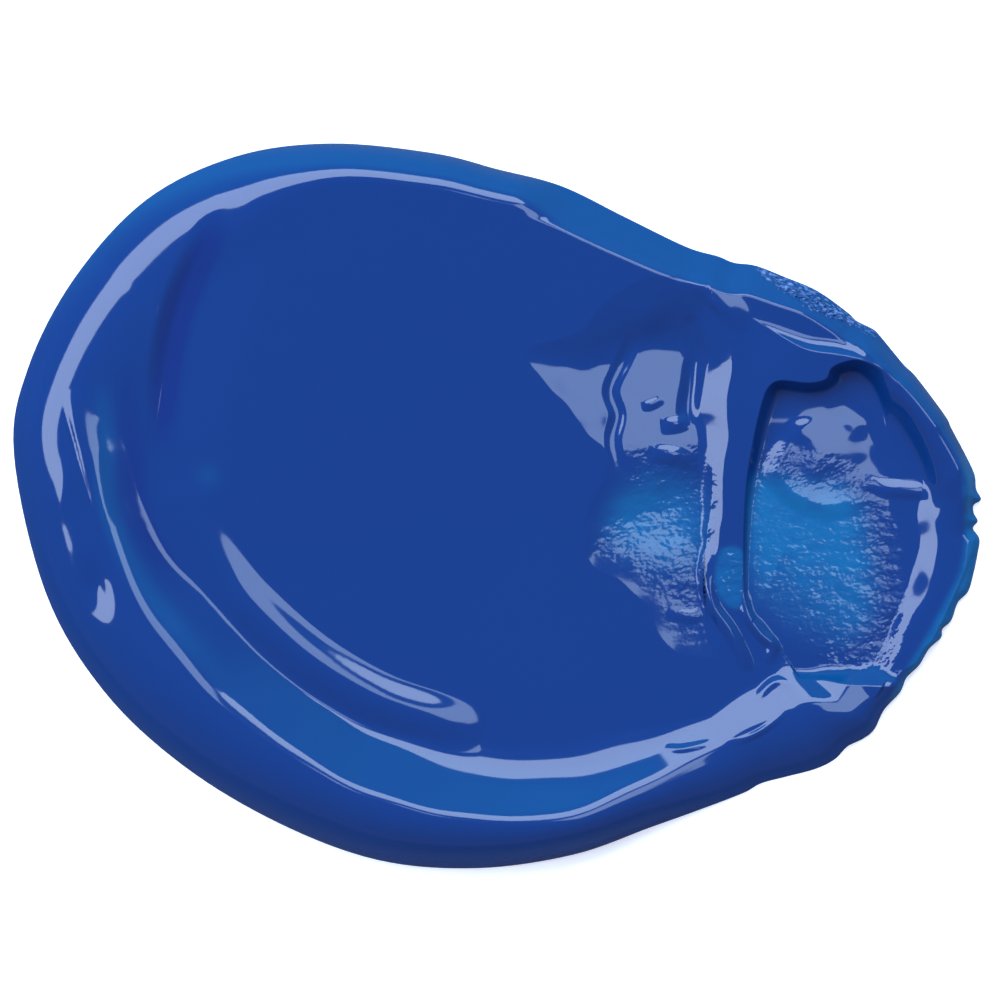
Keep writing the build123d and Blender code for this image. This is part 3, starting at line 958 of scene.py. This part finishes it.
def paint(name, mask=None, fineness=FILM_FINENESS, mark_height=0.0, painted_glints=None):
    """Glossy wet-looking acrylic; with a mask, it also carries fine marks where the mask is, and, given a
    colour, painted glints on the marks' tops.
    """
    material, tree, shader = new_material(name)
    shader.inputs["IOR"].default_value = PAINT_IOR
    body = tree.nodes.new("ShaderNodeGroup")
    body.node_tree = paint_body
    link(tree, body.outputs["Color"], shader.inputs["Base Color"])
    bump = tree.nodes.new("ShaderNodeBump")
    bump.inputs["Strength"].default_value = 1.0
    bump.inputs["Distance"].default_value = SKIN_BUMP
    link(tree, body.outputs["Height"], bump.inputs["Height"])
    roughness = body.outputs["Roughness"]
    if mask is not None:
        marks = tree.nodes.new("ShaderNodeGroup")
        marks.node_tree = scrape_marks
        marks.inputs["Fineness"].default_value = fineness
        link(tree, mask_value(tree, mask), marks.inputs["Mask"])
        roughness = math_node(tree, "ADD", roughness, marks.outputs["Dullness"])
        if painted_glints is not None:
            # Painted glints: the marks' tops take a lighter colour
            share = painted_glint_mask(tree, marks.outputs["Height"])
            with_painted_glints = blend_colour(tree, share, body.outputs["Color"], painted_glints)
            link(tree, with_painted_glints, shader.inputs["Base Color"])
        fine = tree.nodes.new("ShaderNodeBump")
        fine.inputs["Distance"].default_value = mark_height
        link(tree, marks.outputs["Height"], fine.inputs["Height"])
        link(tree, bump.outputs["Normal"], fine.inputs["Normal"])
        bump = fine
    link(tree, roughness, shader.inputs["Roughness"])
    link(tree, bump.outputs["Normal"], shader.inputs["Normal"])
    return material


def pale_ground():
    """The studio ground: bright and pale where it is seen, dim in the paint's own gloss."""
    material, tree, shader = new_material("pale_ground")
    shader.inputs["Roughness"].default_value = 0.9
    shade = tree.nodes.new("ShaderNodeMapRange")
    shade.inputs["To Min"].default_value = GROUND_SHADES[0]
    shade.inputs["To Max"].default_value = GROUND_SHADES[1]
    link(tree, noise_value(tree, 4.0, 2.0), shade.inputs["Value"])
    grey = tree.nodes.new("ShaderNodeCombineColor")
    for channel in ("Red", "Green", "Blue"):
        link(tree, shade.outputs["Result"], grey.inputs[channel])
    in_gloss = tree.nodes.new("ShaderNodeLightPath").outputs["Is Glossy Ray"]
    seen = blend_colour(tree, in_gloss, grey.outputs["Color"], GROUND_IN_GLOSS)
    link(tree, seen, shader.inputs["Base Color"])
    direct = math_node(tree, "SUBTRACT", 1.0, in_gloss)
    link(tree, math_node(tree, "MULTIPLY", direct, GROUND_GLOW), shader.inputs["Emission Strength"])
    shader.inputs["Emission Color"].default_value = WHITE
    return material


paint_body = paint_body_group()
scrape_marks = scrape_group()
pale = pale_ground()
thick = paint("thick_paint")
thin = paint("thin_paint", "grain", FILM_FINENESS, FILM_BUMP)
# The crust carries painted glints on the tops of its marks
dry = paint("dry_paint", "dry", CRUST_FINENESS, CRUST_BUMP, PAINTED_GLINT_BLUE)

# ---- the relief, and the stretches cut out of it
relief = model_relief()
slope_y, slope_x = np.gradient(relief_height(relief["top"], relief["depth"], relief["edge"]), CELL)
relief["slope_x"] = slope_x
relief["slope_y"] = slope_y
# Painted light: the lighter blue goes where the paint faces the key light, with painted light and shade
# along the left bank
relief["tone_with_painted_light"] = np.clip(BASE_TONE + PAINTED_LIGHT_TONE * painted_light_lean(slope_x, slope_y) + painted_light_and_shade_stripes(), 0, 1)


def build_rim():
    """The rolled rim round the top, left and foot of the dab."""
    outer = outline_run(RIM_OUTER_FOOT, RIM_OUTER_TOP)
    inner = joined(RIM_BELOW_PULL[::-1], POOL_SOUTH[::-1], POOL_WEST, POOL_NORTH, RIM_ABOVE_PULL)
    sides = (outer, inner, straight(outer[0], inner[0]), straight(outer[-1], inner[-1]))
    make_piece("rolled_rim", "rim", thick, sides, (980, 92), 1.5)


def hollow_under_step(line):
    """How deep the pool is hollowed under the terrace."""
    shares = [0, STEP_END_SHARE, 1 - STEP_END_SHARE, 1]
    depths = np.interp(np.linspace(0, 1, len(line)), shares, [0, STEP_HOLLOW, STEP_HOLLOW, 0])
    block = block_near(line, STEP_WIDTH)
    gap, (depth,) = nearest(np.column_stack([line, depths]), GROUND_X[block], GROUND_Y[block])
    hollow = np.zeros(GROUND_X.shape)
    hollow[block] = depth * smoothstep((0.5 * STEP_WIDTH - np.abs(gap)) / STEP_SIDE)
    return hollow


def build_pool():
    """The pool inside the rim, and the low curved terrace that lies in its lower left."""
    line = curve(STEP_LINE)
    hollow = hollow_under_step(line)
    sides = (curve(POOL_SOUTH), curve(POOL_NORTH), curve(POOL_WEST), curve(POOL_EDGE))
    make_piece("pool_of_paint", "pool", thick, sides, (260, 300), hollow=hollow)
    make_ribbon(
        "terrace_of_paint", "pool_step", thick, line, 0.5 * STEP_WIDTH, hollow, (320, 36)
    )


def build_pulls():
    """The films the two pulls left, and the ridge between them."""
    below = joined(RIM_BELOW_PULL, TAIL_BELOW_PULL)
    above = joined(RIM_ABOVE_PULL, FOLD_OVER_PULL)
    sides = (below, above, curve(POOL_EDGE), curve(CROSS_LEFT))
    make_piece("first_scraped_film", "first_pull_film", thin, sides, (190, 440))
    sides = (curve(CROSS_FOOT), curve(CROSS_TOP), curve(CROSS_LEFT), curve(CROSS_RIGHT))
    make_piece("cross_ridge_of_paint", "cross_ridge", thick, sides, (70, 380))
    sides = (curve(TAIL_TOP), curve(FOLD_LIP), curve(CROSS_RIGHT), curve(END_FOOT))
    make_piece("second_scraped_film", "second_pull_film", thin, sides, (190, 330))


def build_right_end():
    """The ridge where the blade was lifted off, the torn fringe outside it, and the tail."""
    outer = np.vstack([curve(FRINGE_EDGE)[:-1], outline_run(LIP_OUTER_END, FRINGE_END)[::-1]])
    sides = (outer, curve(END_FOOT), straight(TAIL_CORNER, TAIL_END), straight(outer[-1], LIP_END))
    make_piece("lift_off_ridge", "end_ridge", thick, sides, (420, 70), 1.4)
    outer = outline_run(FRINGE_END, FRINGE_START)[::-1]
    inner = np.vstack([outer[:1], joined(FRINGE_EDGE), outer[-1:]])
    sides = (outer, inner, straight(outer[0], inner[0]), straight(outer[-1], inner[-1]))
    make_piece("torn_fringe", "fringe", thin, sides, (420, 30), 1.3)
    outer = outline_run(FRINGE_START, RIM_OUTER_FOOT)[::-1]
    west = np.vstack([outer[:1], joined(TAIL_BELOW_PULL)])
    east = np.vstack([outer[-1:], [TAIL_CORNER], [TAIL_END]])
    sides = (outer, joined(CROSS_FOOT, TAIL_TOP), west, east)
    make_piece("tail_of_paint", "tail", thick, sides, (220, 190), 1.3)


def build_fold():
    """The thick fold along the upper right, and the dragged crust on its outer side."""
    outer = outline_run(CRUST_START, CRUST_END)
    inner = curve([tuple(outer[0])] + CRUST_EDGE[1:-1] + [tuple(outer[-1])])
    west = outline_run(RIM_OUTER_TOP, CRUST_START)
    east = outline_run(CRUST_END, LIP_OUTER_END)
    fold_outer = np.vstack([west, inner[1:-1], east])
    fold_inner = joined(FOLD_OVER_PULL, CROSS_TOP, FOLD_LIP)
    sides = (fold_outer, fold_inner, straight(west[0], RIM_TOP), straight(east[-1], LIP_END))
    make_piece("folded_paint", "fold", thick, sides, (300, 130), 1.2)
    sides = (outer, inner, straight(outer[0], inner[0]), straight(outer[-1], inner[-1]))
    make_piece("dragged_crust", "crust", dry, sides, (260, 40), 1.2)


build_rim()
build_pool()
build_pulls()
build_right_end()
build_fold()

# ---- ground, light and camera, in metres
GROUND_HALF_SIZE = 1.5
LIGHT_DISTANCE = 1.2
# The key light: one curved softbox, (azimuth, lower and upper zenith angle) in degrees, and its radiance
KEY_BAND = [
    (56, 40, 50), (63, 34.5, 54), (80, 29, 56), (98, 27.5, 56.5), (116, 29, 57), (133, 32, 57),
    (150, 31, 56), (165, 30.5, 55.5), (180, 33, 54), (188, 37, 50), (193, 41, 46),
]
KEY_RADIANCE = 6.8
KEY_COLOUR = (0.84, 1.02, 1.25, 1)
# The fill light's azimuth and zenith angle in degrees, its size and its radiance
FILL_AZIMUTH = 38
FILL_ZENITH = 23
FILL_LENGTH = 0.44
FILL_HEIGHT = 0.47
FILL_RADIANCE = 4.2
FILL_COLOUR = (0.78, 1.03, 1.28)
WORLD_COLOUR = (0.62, 0.6, 0.85, 1)
WORLD_STRENGTH = 0.5
CAMERA_PLACE = (0.19 * MM, 0.31 * MM, 0.5)
CAMERA_LENS = 288.0
CAMERA_SENSOR = 36.0


def on_sphere(azimuth, zenith):
    """A place on the lights' sphere, at angles in degrees."""
    around = math.radians(azimuth)
    down = math.radians(zenith)
    flat = LIGHT_DISTANCE * math.sin(down)
    return flat * math.cos(around), flat * math.sin(around), LIGHT_DISTANCE * math.cos(down)


def add_ground():
    """The flat ground the dab lies on."""
    shape = bmesh.new()
    bmesh.ops.create_grid(shape, x_segments=1, y_segments=1, size=GROUND_HALF_SIZE)
    mesh = mesh_of(shape, "ground")
    ground = add_object("ground", mesh)
    mesh.materials.append(pale)


def add_fill():
    """A small rectangular studio light, turned towards the dab."""
    lamp = bpy.data.lights.new("fill", "AREA")
    lamp.shape = "RECTANGLE"
    lamp.size = FILL_LENGTH
    lamp.size_y = FILL_HEIGHT
    lamp.energy = FILL_RADIANCE * FILL_LENGTH * FILL_HEIGHT * math.pi
    lamp.color = FILL_COLOUR
    light = add_object("fill", lamp)
    light.location = on_sphere(FILL_AZIMUTH, FILL_ZENITH)
    light.rotation_euler = (math.radians(FILL_ZENITH), 0, math.radians(FILL_AZIMUTH) + math.pi / 2)


def glow_material():
    """The curved softbox's own even glow."""
    glow = bpy.data.materials.new("key")
    glow.use_nodes = True
    tree = glow.node_tree
    tree.nodes.clear()
    emission = tree.nodes.new("ShaderNodeEmission")
    emission.inputs["Strength"].default_value = KEY_RADIANCE
    emission.inputs["Color"].default_value = KEY_COLOUR
    output = tree.nodes.new("ShaderNodeOutputMaterial")
    link(tree, emission.outputs["Emission"], output.inputs["Surface"])
    return glow


def add_key():
    """A studio light bent round the dab: a glowing strip on a sphere, which the camera doesn't see."""
    shape = bmesh.new()
    rows = []
    for azimuth, low, high in curve(KEY_BAND):
        rows.append([shape.verts.new(on_sphere(azimuth, zenith)) for zenith in (low, high)])
    for first, second in zip(rows[:-1], rows[1:]):
        shape.faces.new((first[0], first[1], second[1], second[0]))
    mesh = mesh_of(shape, "key")
    mesh.materials.append(glow_material())
    light = add_object("key", mesh)
    light.visible_camera = False
    light.visible_shadow = False


def add_world():
    """Dim violet light from all round."""
    world = bpy.data.worlds.new("studio")
    bpy.context.scene.world = world
    world.use_nodes = True
    background = world.node_tree.nodes["Background"]
    background.inputs["Color"].default_value = WORLD_COLOUR
    background.inputs["Strength"].default_value = WORLD_STRENGTH


def add_camera():
    """The camera, straight above the dab and looking down."""
    camera_data = bpy.data.cameras.new("overhead")
    camera_data.lens = CAMERA_LENS
    camera_data.sensor_width = CAMERA_SENSOR
    camera_data.clip_start = 0.01
    camera_data.clip_end = 10.0
    camera = add_object("overhead", camera_data)
    camera.location = CAMERA_PLACE
    bpy.context.scene.camera = camera


add_ground()
add_key()
add_fill()
add_world()
add_camera()
bpy.context.scene.view_settings.view_transform = "Standard"
